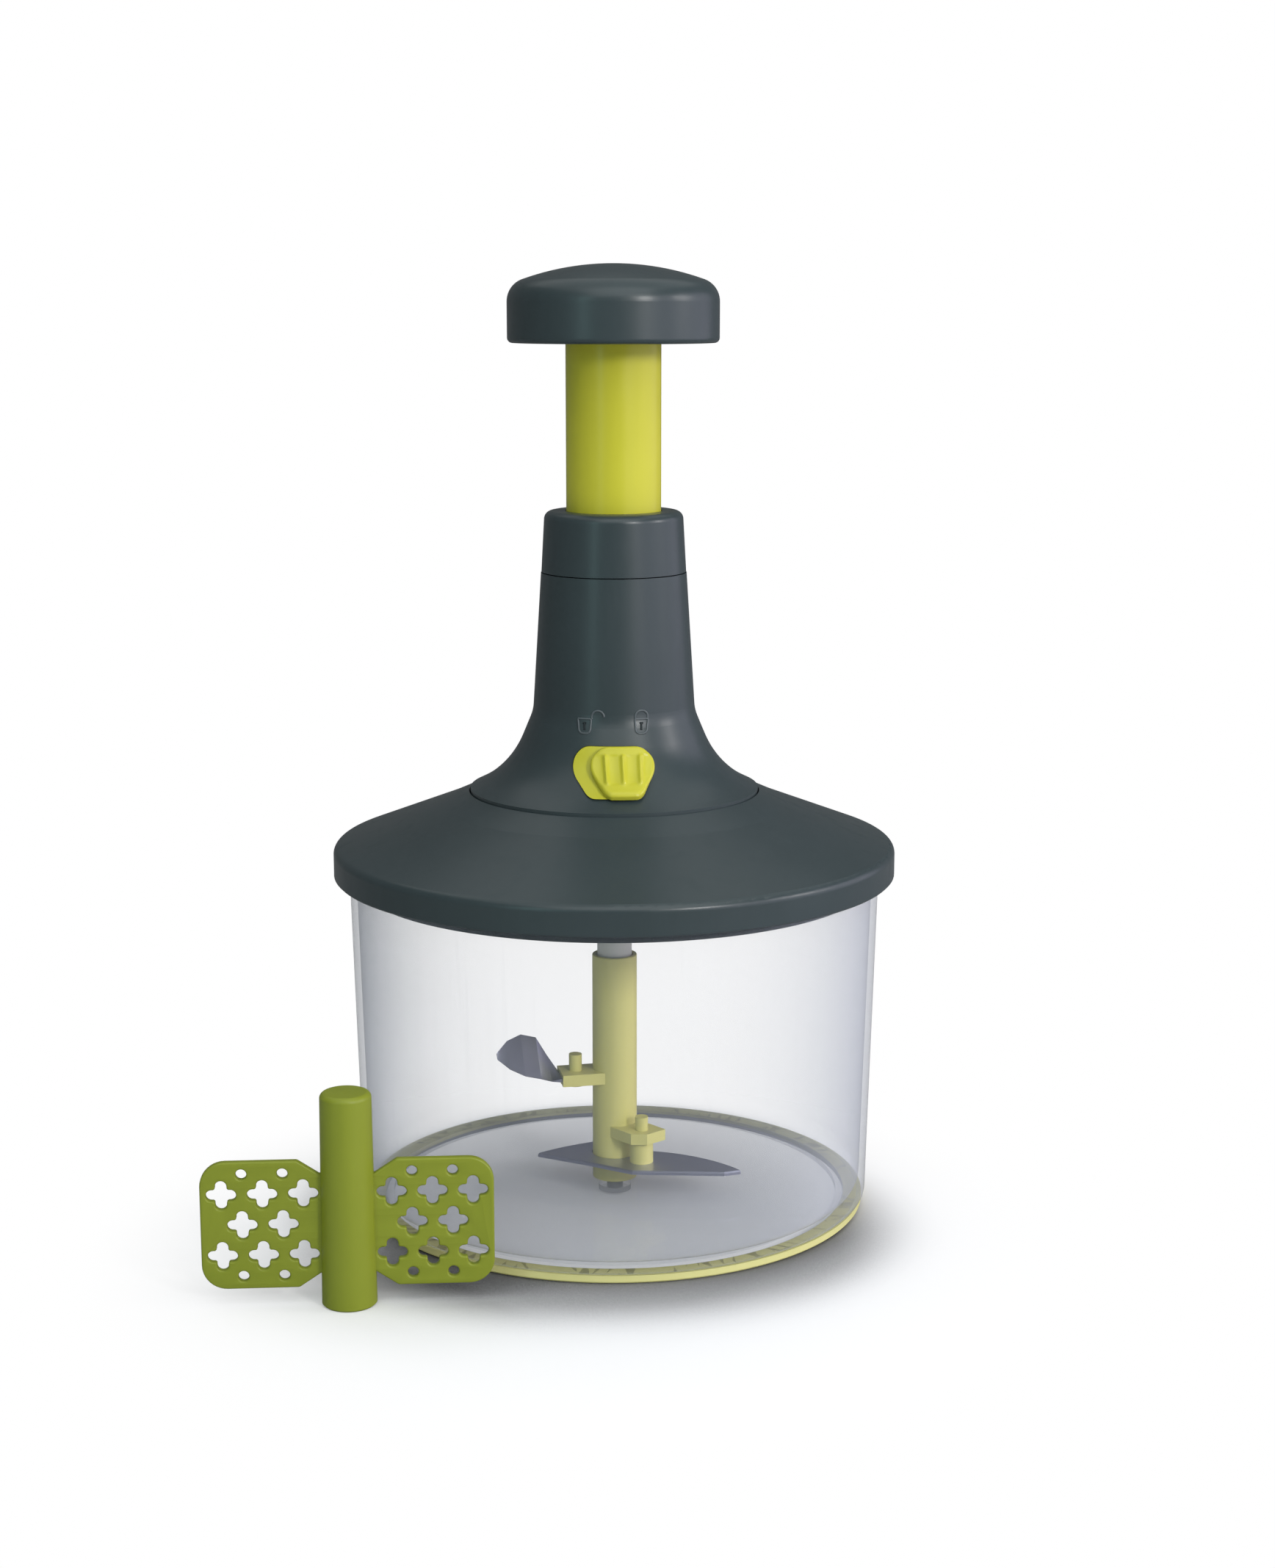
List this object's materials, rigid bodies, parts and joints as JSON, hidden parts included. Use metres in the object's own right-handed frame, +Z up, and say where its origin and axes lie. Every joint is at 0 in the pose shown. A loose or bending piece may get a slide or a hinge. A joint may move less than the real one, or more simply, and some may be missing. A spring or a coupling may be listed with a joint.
{
  "type": "food chopper",
  "caption": "Push-down food chopper: clear tapered bowl, conical lid with a tall plunger, lock slider, two-level blade unit, and a pierced mixing paddle beside it.",
  "frame": {"origin": "on the bowl's axis, in the plane that the base ring stands on", "axes": "+Z up along the bowl's axis; the lock slider faces -Y"},
  "size_m": [0.1981, 0.1826, 0.284],
  "materials": {
    "clear_plastic": "clear, polished",
    "dark_plastic": "satin dark blue-grey",
    "lime_plastic": "satin lime",
    "lime_rubber": "soft lime",
    "olive_plastic": "satin olive-lime",
    "pale_plastic": "natural white engineering plastic",
    "grey_rubber": "soft, translucent grey",
    "steel": "plain stainless",
    "blade_steel": "ground stainless sheet"
  },
  "bodies": {
    "bowl": {"bowl": "clear_plastic", "base_ring": "lime_rubber", "centre_pin": "steel"},
    "lid": {"lid_dome": "dark_plastic", "lid_underplate": "dark_plastic", "lid_seal": "grey_rubber", "underplate_screws": "steel", "neck_housing": "dark_plastic", "neck_screws": "steel", "neck_collar": "dark_plastic", "guide_sleeve": "pale_plastic", "sleeve_screws": "steel", "spindle_bush": "pale_plastic", "thrust_washer": "steel", "clutch_cover": "pale_plastic", "return_spring": "steel", "lock_track": "lime_plastic"},
    "plunger": {"knob_cap": "dark_plastic", "knob_base": "dark_plastic", "knob_screws": "steel", "plunger_tube": "lime_plastic", "twisted_rod": "steel", "rod_pin": "steel"},
    "rotor": {"drive_spindle": "pale_plastic", "drive_nut": "pale_plastic", "spindle_clip": "steel"},
    "lock": {"lock_button": "lime_plastic", "lock_carrier": "pale_plastic"},
    "blades": {"blade_stem": "lime_plastic", "upper_blade": "blade_steel", "lower_blade": "blade_steel", "blade_pins": "lime_plastic"},
    "paddle": {"paddle": "olive_plastic"}
  },
  "joints": [
    {"name": "lid_lift", "type": "slide", "parent": "bowl", "child": "lid", "axis": [0, 0, 1], "range_m": [0, 0.06]},
    {"name": "plunger_press", "type": "slide", "parent": "lid", "child": "plunger", "axis": [0, 0, -1], "range_m": [0, 0.046], "stiffness_N_per_m": 300, "springref_m": -0.012, "deforming": ["return_spring"]},
    {"name": "drive_spin", "type": "hinge", "parent": "lid", "child": "rotor", "pos_m": [0, 0, 0.1], "axis": [0, 0, 1], "range_deg": [0, 415]},
    {"name": "blade_spin", "type": "hinge", "parent": "bowl", "child": "blades", "pos_m": [0, 0, 0.03], "axis": [0, 0, 1], "range_deg": [0, 415]},
    {"name": "lock_slide", "type": "hinge", "parent": "lid", "child": "lock", "pos_m": [0, 0, 0.139], "axis": [0, 0, -1], "range_deg": [0, 11.6]},
    {"name": "paddle_lift", "type": "slide", "parent": "bowl", "child": "paddle", "axis": [0, 0, 1], "range_m": [0, 0.08]}
  ],
  "couplings": [
    {"joint": "drive_spin", "follows": "plunger_press", "rad_per_m": 157.08},
    {"joint": "blade_spin", "follows": "plunger_press", "rad_per_m": 157.08}
  ]
}
